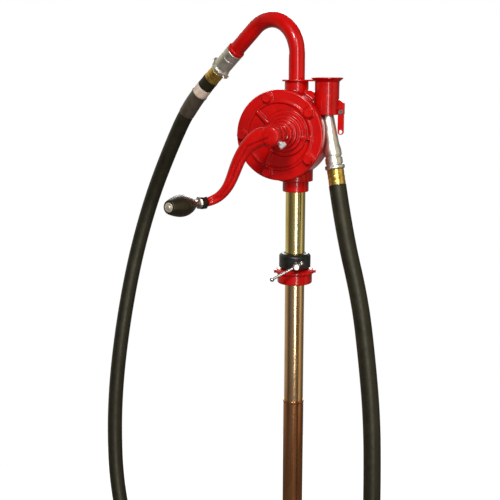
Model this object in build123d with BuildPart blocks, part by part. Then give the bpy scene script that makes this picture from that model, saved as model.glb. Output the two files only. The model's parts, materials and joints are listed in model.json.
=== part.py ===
from build123d import *
import math
import os

os.makedirs("parts", exist_ok=True)

# Hand rotary pump for a drum. Millimetres, +Z up, +X right, -Y to the crank side.
# The origin is on the suction tube's axis, at the seat under the bung flange.

# ---------------------------------------------------------------- clearances
running = 0.05        # radial, a shaft turning in its bush
slip = 0.10           # radial, tubes that telescope
loose = 0.30          # pieces on different bodies that only pass each other
seated = 0.02         # radial, a piece screwed or pushed home
weld = 0.10           # depth of a welded or gripped overlap

# ---------------------------------------------------------------- driving sizes
tube_r = 16.8                 # 1 inch suction tube
tube_wall = 2.6
tube_foot = -410.0
lower_wall = 0.9
lower_top = -231.0
lower_foot = -831.0

bung_r = 29.8                 # 2 inch bung thread
bung_depth = 18.0
flange_r = 34.0
flange_t = 7.0
lug_reach = 36.0
lug_width = 13.0
spigot_r = tube_r + 5.2
spigot_top = 14.0

collar_r = spigot_r + 5.0
collar_base = 9.0
collar_top = 34.0
collar_chamfer = 4.0

screw_r = 4.0                 # clamp screw with a sliding bar
screw_z = 19.5
screw_head_r = 6.0
screw_head_start = collar_r + 12.0
screw_head_end = screw_head_start + 14.0
bar_r = 2.2
bar_ball_r = 3.8
bar_length = 56.0
bar_tilt = 29.0               # degrees, hanging to the left
view_turn = 21.0              # degrees, the clamp screw points this far right of -Y

chamber_x, chamber_z = -15.0, 236.0      # axis of the round casing
shaft_x, shaft_z = -4.0, 240.0           # axis of the shaft
chamber_r = 51.0
chamber_depth = 46.0
casing_r = 73.0
casing_front = -35.2
casing_drum = chamber_depth   # straight part of the casing's outside
casing_back_r = casing_r - 13.0
casing_depth = chamber_depth + 8.0
gasket_t = 0.8
cover_r = casing_r + 1.0
cover_t = 9.0
bolt_circle_r = casing_r - 9.5
bolt_count = 5
bolt_start = 36.0             # degrees from +X, seen from the front
bolt_r = 4.0
bolt_head_flats = 13.0
bolt_head_t = 5.3
bolt_reach = 8.0              # depth of the bolts in the casing

port_r = 13.0
coupling_spigot_r = tube_r + 3.2
coupling_r = coupling_spigot_r + 2.0
inlet_boss_r = coupling_r + 7.0
inlet_boss_base = chamber_z - casing_r - 5.0
coupling_base = inlet_boss_base - 18.0
coupling_spigot_top = inlet_boss_base + 16.0
tube_top = inlet_boss_base + 12.0
spout_r = 13.45               # 3/4 inch pipe
spout_wall = 2.6
neck_r = spout_r + 6.3
neck_top = chamber_z + casing_r + 13.5
spout_seat = neck_top - 18.5

shaft_r = 8.0
shaft_back = casing_front + casing_depth + 7.2
shaft_front = -112.0
bush_r = 11.0
packing_r = 13.0
rear_boss_r = 17.0
rear_boss_t = 12.0
rotor_end_gap = 0.15
rotor_tip_gap = 0.15
vane_count = 4
vane_t = 8.0
vane_slot_floor = 19.0
vane_height = 17.5
key_size = 5.0
key_length = 30.0

spout_rise = neck_top + 45.5  # height at which the bend starts
spout_bend_r = 56.0
spout_bend = 129.0            # degrees
spout_straight = 61.0
spout_heading = (-0.934, 0.357)

hose_r = 14.4
ferrule_r = 14.0
plate_t = 3.0
plate_r = 24.0
holster_x, holster_y = 53.7, -5.0
holster_r = 20.0
holster_relief = 1.0          # space cast into the drum around the holster and nozzle
nozzle_relief_length = 110.0
web_t = 8.0
holster_wall = 2.5
holster_lip_r = holster_r + 6.0
holster_rim = neck_top + plate_t + 3.5
holster_base = holster_rim - 60.0
nozzle_root = Vector(holster_x + 1.3, holster_y, holster_base)
nozzle_dir = Vector(22.4, -12.0, -112.5).normalized()
nozzle_coupling_r = 14.3
nozzle_lug_reach = 19.6
nozzle_lug_start, nozzle_ferrule_start = 84.0, 90.0

crank_hub_r = 16.0
crank_hub_back = -88.0
crank_hub_front = -122.0
grip_r = 17.5
grip_length = 60.0
spindle_r = 4.0

cover_front = casing_front - gasket_t - cover_t
chamber_back = casing_front + chamber_depth
casing_back = casing_front + casing_depth
eccentricity = math.hypot(shaft_x - chamber_x, shaft_z - chamber_z)
rotor_r = chamber_r - eccentricity - rotor_tip_gap
rotor_front = casing_front + rotor_end_gap
rotor_length = chamber_depth - 2 * rotor_end_gap


# ---------------------------------------------------------------- helpers
def facing(x, z, y):
    """A plane across Y at y, seen from the front: its normal is -Y, its up is +Z."""
    return Plane(origin=(x, y, z), x_dir=(1, 0, 0), z_dir=(0, -1, 0))


def level(z):
    """A horizontal plane on the suction tube's axis."""
    return Plane(origin=(0, 0, z))


def ring(plane, outer_r, inner_r, length, mode=Mode.ADD):
    """A round wall standing on the plane, solid where inner_r is 0."""
    with BuildSketch(plane) as profile:
        Circle(outer_r)
        if inner_r:
            Circle(inner_r, mode=Mode.SUBTRACT)
    extrude(profile.sketch, amount=length, mode=mode)


def turned(plane, corners, mode=Mode.ADD):
    """A solid turned about the plane's normal from (radius, height) corners."""
    section = Plane(origin=plane.origin, x_dir=plane.x_dir, z_dir=-plane.y_dir)
    with BuildSketch(section) as profile:
        with BuildLine():
            Polyline(*corners, close=True)
        make_face()
    revolve(profile.sketch, axis=Axis(plane.origin, plane.z_dir), mode=mode)


def hexagon(plane, flats, length):
    """A hexagonal bar standing on the plane."""
    with BuildSketch(plane) as profile:
        RegularPolygon(flats / 2, 6, major_radius=False)
    extrude(profile.sketch, amount=length)


def save(piece, label):
    """Label a finished piece and write it to parts/."""
    piece.part.label = label
    export_step(piece.part, f"parts/{label}.step")


# ---------------------------------------------------------------- bung adapter and its clamp
across = Vector(math.cos(math.radians(view_turn)), math.sin(math.radians(view_turn)), 0)
forward = Vector(math.sin(math.radians(view_turn)), -math.cos(math.radians(view_turn)), 0)
seal_r = spigot_r - 1.5
seal_base = 2.0

with BuildPart() as bung_adapter:
    turned(level(0), [
        (tube_r + loose, -bung_depth), (bung_r - 1.5, -bung_depth), (bung_r, 1.5 - bung_depth), (bung_r, 0),
        (flange_r - 1, 0), (flange_r, 1), (flange_r, flange_t - 3), (flange_r - 5, flange_t),
        (spigot_r, flange_t), (spigot_r, spigot_top), (seal_r, spigot_top), (seal_r, seal_base),
        (tube_r + loose, seal_base)])
    with BuildSketch(Plane(origin=(0, 0, 0), x_dir=across, z_dir=(0, 0, 1))):
        for side in (-1, 1):
            with Locations((side * (bung_r + lug_reach) / 2, 0)):
                Rectangle(lug_reach - bung_r, lug_width)
    extrude(amount=flange_t - 2)
save(bung_adapter, "bung_adapter")

with BuildPart() as tube_seal:
    ring(level(seal_base), seal_r - seated, tube_r + loose, spigot_top - seal_base)
save(tube_seal, "tube_seal")

clamp_plane = Plane(origin=(0, 0, screw_z), x_dir=across, z_dir=forward)
with BuildPart() as lock_collar:
    turned(level(0), [
        (spigot_r + loose, collar_base), (collar_r - 1, collar_base), (collar_r, collar_base + 1),
        (collar_r, collar_top - collar_chamfer), (collar_r - collar_chamfer, collar_top),
        (tube_r + loose + 2.5, collar_top), (tube_r + loose, collar_top - 2.5),
        (tube_r + loose, spigot_top + loose), (spigot_r + loose, spigot_top + loose)])
    ring(clamp_plane, screw_r + running, 0, collar_r + 5, mode=Mode.SUBTRACT)
save(lock_collar, "lock_collar")

with BuildPart() as clamp_screw:
    turned(clamp_plane, [
        (0, tube_r + loose), (screw_r - 1, tube_r + loose), (screw_r, tube_r + loose + 1),
        (screw_r, screw_head_start), (screw_head_r - 1, screw_head_start),
        (screw_head_r, screw_head_start + 1), (screw_head_r, screw_head_end - 1.5),
        (screw_head_r - 1.5, screw_head_end), (0, screw_head_end)])
    bar_middle = (screw_head_start + screw_head_end) / 2
    bar_heading = across * math.cos(math.radians(bar_tilt)) + Vector(0, 0, math.sin(math.radians(bar_tilt)))
    bar_centre = Vector(0, 0, screw_z) + forward * bar_middle
    bar_bore = Plane(origin=bar_centre - bar_heading * 2 * screw_head_r, z_dir=bar_heading)
    ring(bar_bore, bar_r + running, 0, 4 * screw_head_r, mode=Mode.SUBTRACT)
save(clamp_screw, "clamp_screw")

bar_end = screw_head_r + loose + bar_ball_r
bar_plane = Plane(origin=bar_centre + bar_heading * (bar_end - bar_length), z_dir=bar_heading)
ball_neck = math.sqrt(bar_ball_r ** 2 - bar_r ** 2)
with BuildPart() as tommy_bar:
    with BuildSketch(Plane(origin=bar_plane.origin, x_dir=bar_plane.x_dir, z_dir=-bar_plane.y_dir)):
        with BuildLine():
            Line((0, bar_length + bar_ball_r), (0, -bar_ball_r))
            ThreePointArc((0, -bar_ball_r), (bar_ball_r, 0), (bar_r, ball_neck))
            Line((bar_r, ball_neck), (bar_r, bar_length - ball_neck))
            ThreePointArc((bar_r, bar_length - ball_neck), (bar_ball_r, bar_length),
                          (0, bar_length + bar_ball_r))
        make_face()
    revolve(axis=Axis(bar_plane.origin, bar_plane.z_dir))
save(tommy_bar, "tommy_bar")

# ---------------------------------------------------------------- suction tubes
with BuildPart() as suction_tube_upper:
    ring(level(tube_foot), tube_r, tube_r - tube_wall, tube_top - tube_foot)
save(suction_tube_upper, "suction_tube_upper")

with BuildPart() as suction_tube_lower:
    lower_bore = tube_r + slip
    lower_r = lower_bore + lower_wall
    turned(level(0), [
        (lower_bore, lower_foot), (lower_r, lower_foot), (lower_r, lower_top - 4),
        (lower_r + 0.6, lower_top - 3), (lower_r + 0.6, lower_top), (lower_bore, lower_top)])
save(suction_tube_lower, "suction_tube_lower")

with BuildPart() as inlet_coupling:
    turned(level(0), [
        (tube_r + seated, coupling_base), (coupling_r - 1, coupling_base), (coupling_r, coupling_base + 1),
        (coupling_r, inlet_boss_base), (coupling_spigot_r, inlet_boss_base),
        (coupling_spigot_r, coupling_spigot_top), (port_r, coupling_spigot_top), (port_r, tube_top),
        (tube_r + seated, tube_top)])
save(inlet_coupling, "inlet_coupling")

# ---------------------------------------------------------------- pump casing
casing_face = facing(chamber_x, chamber_z, casing_front)
with BuildPart() as pump_casing:
    turned(facing(chamber_x, chamber_z, casing_back), [
        (0, 0), (casing_back_r - 3, 0), (casing_back_r, 2), (casing_r, casing_depth - casing_drum),
        (casing_r, casing_depth), (0, casing_depth)])
    ring(level(inlet_boss_base), inlet_boss_r, 0, chamber_z - chamber_r - inlet_boss_base)
    ring(level(chamber_z + chamber_r), neck_r, 0, neck_top - chamber_z - chamber_r)
    turned(facing(shaft_x, shaft_z, casing_back + rear_boss_t), [
        (0, 0), (rear_boss_r - 2, 0), (rear_boss_r, 2), (rear_boss_r, rear_boss_t + 1), (0, rear_boss_t + 1)])
    # Three cast ribs across the tapered back.
    for angle in (90, 210, 330):
        radial = Vector(math.cos(math.radians(angle)), 0, math.sin(math.radians(angle)))
        rib_plane = Plane(origin=(chamber_x, 0, chamber_z), x_dir=radial, z_dir=radial.cross(Vector(0, 1, 0)))
        drum_back = casing_front + casing_drum
        with BuildSketch(rib_plane):
            with BuildLine():
                Polyline((24, casing_back - 1), (24, casing_back + 5), (casing_back_r - 8, casing_back + 5),
                         (casing_r - 4, drum_back), (casing_r - 16, drum_back), close=True)
            make_face()
        extrude(amount=3, both=True)
    # The drum is relieved where the holster and the hanging nozzle pass its side.
    ring(Plane(origin=(holster_x, holster_y, holster_base - 2)), holster_r + holster_relief, 0,
         neck_top - holster_base, mode=Mode.SUBTRACT)
    ring(Plane(origin=nozzle_root - nozzle_dir * 6, z_dir=nozzle_dir),
         nozzle_coupling_r + 2 * holster_relief, 0, nozzle_relief_length, mode=Mode.SUBTRACT)
    ring(Plane(origin=nozzle_root + nozzle_dir * (nozzle_lug_start - 2), z_dir=nozzle_dir),
         nozzle_lug_reach + holster_relief, 0, nozzle_ferrule_start - nozzle_lug_start + 4,
         mode=Mode.SUBTRACT)
    # Cast web that carries the holster, beside the outlet neck.
    web_end = holster_x - holster_r + weld
    with BuildSketch(Plane.XZ.offset(-holster_y - web_t / 2)):
        with BuildLine():
            Polyline((0, neck_top - 38.5), (web_end, neck_top - 28.5), (web_end, neck_top - 17.5),
                     (web_end - 6, neck_top - 14.5), (0, neck_top - 14.5), close=True)
        make_face()
    extrude(amount=web_t)
    ring(facing(chamber_x, chamber_z, chamber_back), chamber_r, 0, chamber_depth + 1, mode=Mode.SUBTRACT)
    ring(level(inlet_boss_base), coupling_spigot_r + seated, 0, coupling_spigot_top - inlet_boss_base,
         mode=Mode.SUBTRACT)
    ring(level(coupling_spigot_top - 1), port_r, 0, 40, mode=Mode.SUBTRACT)
    ring(level(chamber_z + 20), port_r, 0, spout_seat - chamber_z - 20, mode=Mode.SUBTRACT)
    ring(level(spout_seat), spout_r + seated, 0, neck_top - spout_seat + 1, mode=Mode.SUBTRACT)
    ring(facing(shaft_x, shaft_z, shaft_back + 1), bush_r, 0, shaft_back - chamber_back + 2,
         mode=Mode.SUBTRACT)
    with BuildSketch(casing_face):
        with PolarLocations(bolt_circle_r, bolt_count, start_angle=bolt_start):
            Circle(bolt_r + running)
    extrude(amount=-bolt_reach - 1, mode=Mode.SUBTRACT)
save(pump_casing, "pump_casing")

with BuildPart() as cover_gasket:
    with BuildSketch(casing_face):
        Circle(casing_r - 0.5)
        Circle(chamber_r + 0.3, mode=Mode.SUBTRACT)
        with PolarLocations(bolt_circle_r, bolt_count, start_angle=bolt_start):
            Circle(bolt_r + loose, mode=Mode.SUBTRACT)
    extrude(amount=gasket_t)
save(cover_gasket, "cover_gasket")

# ---------------------------------------------------------------- front cover
boss_t = 2.5
rib_middle, rib_length = 40.0, 27.0
# Each step of the cover's hub: radius, height, edge round.
hub_steps = [(37.0, 4.0, 1.2), (29.5, 9.0, 1.8), (23.5, 15.0, 1.8), (19.0, 26.0, 1.5)]
box_front = cover_front - hub_steps[-1][1]
packing_depth = 8.0
with BuildPart() as front_cover:
    ring(facing(chamber_x, chamber_z, cover_front + cover_t), cover_r, 0, cover_t)
    fillet(front_cover.edges().group_by(Axis.Y)[0], radius=2.5)
    cover_face = facing(chamber_x, chamber_z, cover_front)
    ring(cover_face, casing_r - 16.0, casing_r - 20.5, 2.0)
    fillet(front_cover.edges().group_by(Axis.Y)[0], radius=0.9)
    for step_r, step_h, step_round in hub_steps:
        ring(facing(shaft_x, shaft_z, cover_front), step_r, 0, step_h)
        fillet(front_cover.edges().group_by(Axis.Y)[0], radius=step_round)
    for angle in (134, -4, 245):
        with BuildSketch(cover_face):
            with PolarLocations(rib_middle, 1, start_angle=angle):
                Rectangle(rib_length, 5.5)
        extrude(amount=5.0)
    with BuildSketch(cover_face):
        with PolarLocations(bolt_circle_r, bolt_count, start_angle=bolt_start):
            Circle(9.3)
    extrude(amount=boss_t)
    with BuildSketch(cover_face):
        with PolarLocations(bolt_circle_r, bolt_count, start_angle=bolt_start):
            Circle(bolt_r + loose)
    extrude(amount=boss_t + 1, both=True, mode=Mode.SUBTRACT)
    with BuildSketch(cover_face):
        with PolarLocations(bolt_circle_r, bolt_count, start_angle=bolt_start):
            Circle(bolt_r + loose)
    extrude(amount=-cover_t - 1, mode=Mode.SUBTRACT)
    ring(facing(shaft_x, shaft_z, cover_front + cover_t + 1), bush_r, 0,
         cover_t + 1 + hub_steps[-1][1] + 1, mode=Mode.SUBTRACT)
    ring(facing(shaft_x, shaft_z, box_front + packing_depth), packing_r, 0, packing_depth + 1,
         mode=Mode.SUBTRACT)
save(front_cover, "front_cover")

with BuildPart() as cover_bolts:
    with BuildSketch(facing(chamber_x, chamber_z, cover_front - boss_t)):
        with PolarLocations(bolt_circle_r, bolt_count, start_angle=bolt_start):
            RegularPolygon(bolt_head_flats / 2, 6, major_radius=False)
    extrude(amount=bolt_head_t)
    chamfer(cover_bolts.edges().group_by(Axis.Y)[0], length=0.9)
    with BuildSketch(facing(chamber_x, chamber_z, cover_front - boss_t)):
        with PolarLocations(bolt_circle_r, bolt_count, start_angle=bolt_start):
            Circle(bolt_r)
    extrude(amount=-(boss_t + cover_t + gasket_t + bolt_reach))
save(cover_bolts, "cover_bolts")

# ---------------------------------------------------------------- bushes, packing, shaft
with BuildPart() as cover_bush:
    ring(facing(shaft_x, shaft_z, rotor_front), bush_r - seated, shaft_r + running,
         rotor_front - box_front - packing_depth)
save(cover_bush, "cover_bush")

with BuildPart() as rear_bush:
    ring(facing(shaft_x, shaft_z, shaft_back + 0.5), bush_r - seated, shaft_r + running,
         shaft_back + 0.5 - chamber_back)
save(rear_bush, "rear_bush")

packing_t = packing_depth - 1.0
with BuildPart() as shaft_packing:
    ring(facing(shaft_x, shaft_z, box_front + packing_depth), packing_r - seated, shaft_r + running,
         packing_t)
save(shaft_packing, "shaft_packing")

nut_length = 10.0
with BuildPart() as packing_nut:
    ring(facing(shaft_x, shaft_z, box_front + packing_depth - packing_t), packing_r - seated,
         shaft_r + running, packing_depth - packing_t)
    with BuildSketch(facing(shaft_x, shaft_z, box_front)):
        RegularPolygon(15.0, 6, major_radius=False)
        Circle(shaft_r + running, mode=Mode.SUBTRACT)
    extrude(amount=nut_length)
    turned(facing(shaft_x, shaft_z, box_front), [
        (15.2, nut_length), (15.2, nut_length + 1), (20, nut_length + 1), (20, nut_length - 3)],
        mode=Mode.SUBTRACT)
save(packing_nut, "packing_nut")

key_middle = rotor_front + rotor_length / 2
key_start = key_middle + key_length / 2
with BuildPart() as drive_shaft:
    turned(facing(shaft_x, shaft_z, shaft_back), [
        (0, 0), (shaft_r - 1, 0), (shaft_r, 1), (shaft_r, shaft_back - shaft_front - 1),
        (shaft_r - 1, shaft_back - shaft_front), (0, shaft_back - shaft_front)])
    with BuildSketch(facing(shaft_x, shaft_z, key_start)):
        with Locations((0, shaft_r)):
            Rectangle(key_size, key_size)
    extrude(amount=key_length, mode=Mode.SUBTRACT)
save(drive_shaft, "drive_shaft")

with BuildPart() as shaft_key:
    with BuildSketch(facing(shaft_x, shaft_z, key_start)):
        with Locations((0, shaft_r)):
            Rectangle(key_size, key_size)
    extrude(amount=key_length)
save(shaft_key, "shaft_key")

# ---------------------------------------------------------------- rotor and vanes
rotor_face = facing(shaft_x, shaft_z, rotor_front)
with BuildPart() as rotor:
    with BuildSketch(rotor_face):
        Circle(rotor_r)
        Circle(shaft_r + seated, mode=Mode.SUBTRACT)
        with Locations((0, shaft_r)):
            Rectangle(key_size, key_size, mode=Mode.SUBTRACT)
        with PolarLocations((vane_slot_floor + rotor_r + 5) / 2, vane_count, start_angle=45):
            Rectangle(rotor_r + 5 - vane_slot_floor, vane_t, mode=Mode.SUBTRACT)
    extrude(amount=-rotor_length)
save(rotor, "rotor")

vane_tip = rotor_r - loose
for index in range(vane_count):
    with BuildPart() as vane:
        with BuildSketch(rotor_face):
            with PolarLocations(vane_tip - vane_height / 2, 1, start_angle=45 + 360 / vane_count * index):
                Rectangle(vane_height, vane_t - 2 * running)
            Circle(vane_tip, mode=Mode.INTERSECT)
        extrude(amount=-rotor_length)
    save(vane, f"vane_{index + 1}")

spring_t = 0.6
spring_span = rotor_length - 6
spring_rise = vane_tip - vane_height - vane_slot_floor - spring_t
with BuildPart() as vane_springs:
    for index in range(vane_count):
        turn = math.radians(45 + 360 / vane_count * index)
        radial = Vector(math.cos(turn), 0, math.sin(turn))
        with BuildSketch(Plane(origin=(shaft_x, rotor_front + rotor_length / 2, shaft_z), x_dir=radial,
                               z_dir=radial.cross(Vector(0, 1, 0)))):
            with BuildLine():
                floor_arc = ThreePointArc((vane_slot_floor, -spring_span / 2),
                                          (vane_slot_floor + spring_rise, 0),
                                          (vane_slot_floor, spring_span / 2))
                top_arc = ThreePointArc((vane_slot_floor + spring_t, -spring_span / 2),
                                        (vane_slot_floor + spring_rise + spring_t, 0),
                                        (vane_slot_floor + spring_t, spring_span / 2))
                Line(floor_arc @ 0, top_arc @ 0)
                Line(floor_arc @ 1, top_arc @ 1)
            make_face()
        extrude(amount=vane_t / 2 - 1, both=True)
save(vane_springs, "vane_springs")

# ---------------------------------------------------------------- crank
grip_axis = Vector(-0.22, -0.975, 0.03).normalized()
arm_end = Vector(-113, -126, 132)
# Along the arm: share of its length, width, depth.
arm_stations = [(0.0, 27, 20), (0.22, 25.5, 17), (0.42, 21.5, 15), (0.62, 19.5, 14), (0.82, 16.5, 13.5),
                (1.0, 15, 14)]
hub_middle = (crank_hub_back + crank_hub_front) / 2 - 6
with BuildPart() as crank_arm:
    with BuildLine(mode=Mode.PRIVATE) as arm_route:
        Spline((shaft_x - 2, hub_middle, shaft_z - 1), (-44, -112, 223), (-60.5, -112, 195.5),
               (-73, -112, 166), (-90, -113, 143), arm_end, tangents=((-1, 0, -0.25), grip_axis),
               tangent_scalars=(1, 0.45))
    for t, width, depth in arm_stations:
        heading = arm_route.line % t
        with BuildSketch(Plane(origin=arm_route.line @ t, x_dir=(-heading.Z, 0, heading.X), z_dir=heading)):
            Ellipse(width / 2, depth / 2)
    loft()
    hub_length = crank_hub_back - crank_hub_front
    turned(facing(shaft_x, shaft_z, crank_hub_back), [
        (0, 0), (crank_hub_r + 1, 0), (crank_hub_r + 2, 1), (crank_hub_r + 2, 14), (crank_hub_r, 16),
        (crank_hub_r, hub_length - 4), (crank_hub_r - 3, hub_length - 1), (crank_hub_r - 8, hub_length),
        (0, hub_length)])
    ring(facing(shaft_x, shaft_z, crank_hub_back + 1), shaft_r + seated, 0, crank_hub_back + 1 - shaft_front,
         mode=Mode.SUBTRACT)
    set_screw_turn = math.radians(-47)
    set_screw_out = Vector(math.cos(set_screw_turn), 0, math.sin(set_screw_turn))
    set_screw_plane = Plane(origin=(shaft_x, -101, shaft_z), x_dir=(0, -1, 0), z_dir=set_screw_out)
    ring(set_screw_plane, 4.0, 0, crank_hub_r + 6, mode=Mode.SUBTRACT)
    ring(Plane(origin=arm_end - grip_axis * 14, z_dir=grip_axis), spindle_r + seated, 0, 20,
         mode=Mode.SUBTRACT)
save(crank_arm, "crank_arm")

with BuildPart() as crank_set_screw:
    ring(set_screw_plane.offset(shaft_r + 0.05), 4.0 - seated, 0, crank_hub_r + 2.6 - shaft_r)
    hexagon(set_screw_plane.offset(crank_hub_r + 2.6), 11.0, 6.0)
save(crank_set_screw, "crank_set_screw")

# ---------------------------------------------------------------- grip
nut_t = 12.0
nut_flats = 19.0
washer_r = 9.0
shoulder_t = 18.0
cap_r = 7.6
grip_start = nut_t + shoulder_t + 0.2
grip_end = grip_start + grip_length
arm_tip = Plane(origin=arm_end, x_dir=(0, 0, 1), z_dir=grip_axis)
with BuildPart() as spindle_nut:
    hexagon(arm_tip, nut_flats, nut_t)
    ring(arm_tip.offset(-1), spindle_r + seated, 0, nut_t + 2, mode=Mode.SUBTRACT)
save(spindle_nut, "spindle_nut")

with BuildPart() as grip_spindle:
    turned(arm_tip, [
        (0, -12), (spindle_r, -12), (spindle_r, nut_t), (washer_r - 0.5, nut_t), (washer_r, nut_t + 0.5),
        (washer_r, nut_t + 2.5), (spindle_r + 1.2, nut_t + 7), (spindle_r + 1.2, nut_t + shoulder_t),
        (spindle_r, nut_t + shoulder_t), (spindle_r, grip_end + 0.2), (0, grip_end + 0.2)])
save(grip_spindle, "grip_spindle")

with BuildPart() as grip:
    section = Plane(origin=arm_tip.origin, x_dir=arm_tip.x_dir, z_dir=-arm_tip.y_dir)
    with BuildSketch(section):
        with BuildLine():
            rear = Line((spindle_r + running, grip_start), (7.0, grip_start))
            side = Spline(rear @ 1, (11.2, grip_start + 4.5), (15.6, grip_start + 15),
                          (grip_r, grip_start + 29), (15.8, grip_start + 43), (12.0, grip_end - 4),
                          (10.2, grip_end))
            nose = Line(side @ 1, (spindle_r + running, grip_end))
            Line(nose @ 1, rear @ 0)
        make_face()
    revolve(axis=Axis(arm_tip.origin, arm_tip.z_dir))
save(grip, "grip")

with BuildPart() as grip_cap:
    turned(arm_tip, [
        (0, grip_end + 0.2), (cap_r, grip_end + 0.2), (cap_r, grip_end + 1.2), (cap_r - 1, grip_end + 2.0),
        (3.0, grip_end + 2.6), (0, grip_end + 2.6)])
save(grip_cap, "grip_cap")

# ---------------------------------------------------------------- spout
spout_plane = Plane(origin=(0, 0, 0), x_dir=(*spout_heading, 0),
                    z_dir=(spout_heading[1], -spout_heading[0], 0))
with BuildPart() as spout:
    with BuildLine(spout_plane) as spout_route:
        riser = Line((0, spout_seat), (0, spout_rise))
        bend = JernArc(riser @ 1, riser % 1, spout_bend_r, -spout_bend)
        fall = PolarLine(bend @ 1, spout_straight, direction=bend % 1)
    with BuildSketch(level(spout_seat)):
        Circle(spout_r)
        Circle(spout_r - spout_wall, mode=Mode.SUBTRACT)
    sweep()
save(spout, "spout")

spout_end = spout_route.line @ 1
spout_dir = spout_route.line % 1
outlet = Plane(origin=spout_end, x_dir=Vector(0, 0, 1).cross(spout_dir), z_dir=spout_dir)
coupling_length = 51.0
outlet_r = spout_r + 2.25
outlet_bore_r = spout_r - 2.95
outlet_ferrule_length = 24.0

with BuildPart() as spout_bead:
    turned(outlet, [
        (spout_r - weld, -7), (spout_r + 1.6, -7), (spout_r + 2.4, -5.5), (spout_r + 2.4, -1.5),
        (spout_r + 1.8, 0), (spout_r - weld, 0)])
save(spout_bead, "spout_bead")


def lugs(plane, reach, thickness):
    """Two spanner pins that stand out of a coupling on opposite sides."""
    for side in (-1, 1):
        with BuildSketch(plane) as pin:
            with Locations((side * reach / 2, 0)):
                Rectangle(reach, 6.5)
            Circle(reach - 6, mode=Mode.SUBTRACT)
        extrude(pin.sketch, amount=thickness)


def ferrule_outline(length):
    """Corners of a crimped hose ferrule with two pressed grooves."""
    corners = [(9.5, 0), (ferrule_r - 0.6, 0), (ferrule_r, 0.8)]
    for groove in (0.36, 0.68):
        start = length * groove
        corners += [(ferrule_r, start), (ferrule_r - 0.5, start + 0.7), (ferrule_r - 0.5, start + 1.7),
                    (ferrule_r, start + 2.4)]
    return corners + [(ferrule_r, length - 0.6), (ferrule_r - 0.4, length), (9.5, length)]


with BuildPart() as outlet_coupling:
    collar_at = coupling_length - 9
    turned(outlet, [
        (outlet_bore_r, 0), (outlet_r - 0.6, 0), (outlet_r, 0.8), (outlet_r, collar_at - 3),
        (outlet_r - 0.5, collar_at - 2), (outlet_r - 0.5, collar_at - 1), (outlet_r + 1.3, collar_at),
        (outlet_r + 1.3, collar_at + 5), (outlet_r + 0.5, collar_at + 6), (outlet_r - 0.9, coupling_length),
        (outlet_bore_r, coupling_length)])
    lugs(outlet.offset(collar_at), outlet_r + 5.1, 5)
save(outlet_coupling, "outlet_coupling")

with BuildPart() as outlet_ferrule:
    turned(outlet.offset(coupling_length), ferrule_outline(outlet_ferrule_length))
save(outlet_ferrule, "outlet_ferrule")

# ---------------------------------------------------------------- nozzle, resting in its holster
nozzle_plane = Plane(origin=nozzle_root, x_dir=Vector(0, 1, 0).cross(nozzle_dir), z_dir=nozzle_dir)
with BuildPart() as nozzle:
    turned(nozzle_plane, [
        (5.8, -44), (7.0, -44), (7.6, -43), (7.8, -14), (9.3, -8), (9.9, 0), (12.6, 50), (14.3, 58),
        (14.5, 66), (13.6, 68.5), (10.0, 68.5), (9.6, 50), (6.2, -8)])
save(nozzle, "nozzle")

with BuildPart() as nozzle_coupling:
    turned(nozzle_plane, [
        (10.0, 68.5), (13.0, 68.5), (13.3, 70.5), (nozzle_coupling_r, 71.5), (nozzle_coupling_r, 83),
        (16.4, nozzle_lug_start), (16.4, nozzle_ferrule_start - 1.5), (15.2, nozzle_ferrule_start),
        (10.0, nozzle_ferrule_start)])
    lugs(nozzle_plane.offset(nozzle_lug_start), nozzle_lug_reach, 4.5)
save(nozzle_coupling, "nozzle_coupling")

nozzle_ferrule_end = 116.0
with BuildPart() as nozzle_ferrule:
    turned(nozzle_plane.offset(nozzle_ferrule_start),
           ferrule_outline(nozzle_ferrule_end - nozzle_ferrule_start))
save(nozzle_ferrule, "nozzle_ferrule")

# ---------------------------------------------------------------- delivery hose
hose_start = spout_end + spout_dir * (coupling_length + outlet_ferrule_length)
hose_finish = nozzle_root + nozzle_dir * nozzle_ferrule_end
hose_points = [
    hose_start,
    hose_start + spout_dir * 76,
    Vector(-293, 117, 192),
    Vector(-343, 137, 98),
    Vector(-373, 129, -2),
    Vector(-385, 105, -94),
    Vector(-391, 81, -184),
    Vector(-396, 64, -276),
    Vector(-396, 51, -370),
    Vector(-383, 31, -474),
    Vector(-346, 4, -576),
    Vector(-288, -24, -668),
    Vector(-208, -52, -738),
    Vector(-114, -74, -776),
    Vector(-18, -88, -776),
    Vector(68, -92, -732),
    Vector(126, -88, -652),
    Vector(154, -80, -552),
    Vector(163, -74, -445),
    Vector(161, -67, -335),
    Vector(155, -57, -225),
    Vector(141, -46, -125),
    Vector(121, -34, -30),
    hose_finish + nozzle_dir * 80,
    hose_finish,
]


def cord_radii(points):
    """The largest tangent arc at each corner of a cord's route."""
    radii = []
    for before, corner, after in zip(points, points[1:], points[2:]):
        half_turn = math.radians((corner - before).get_angle(after - corner)) / 2
        shorter = min((corner - before).length, (after - corner).length)
        radii.append(0.45 * shorter / math.tan(half_turn))
    return radii


hose_radii = cord_radii(hose_points)
with BuildPart() as hose:
    with BuildLine() as hose_route:
        FilletPolyline(*hose_points, radius=hose_radii)
    with BuildSketch(Plane(origin=hose_start, z_dir=spout_dir)):
        Circle(hose_r)
    sweep()
save(hose, "hose")

hose_length = sum(edge.length for edge in hose_route.edges())
print("hose radii", [round(radius) for radius in hose_radii])
section_volume = math.pi * hose_r ** 2 * hose_length
print("hose length", round(hose_length, 1), "volume ratio", hose.part.volume / section_volume)

band_start = coupling_length + outlet_ferrule_length + 20
with BuildPart() as hose_band:
    ring(outlet.offset(band_start), hose_r + 0.5, hose_r - weld, 19)
save(hose_band, "hose_band")

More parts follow.
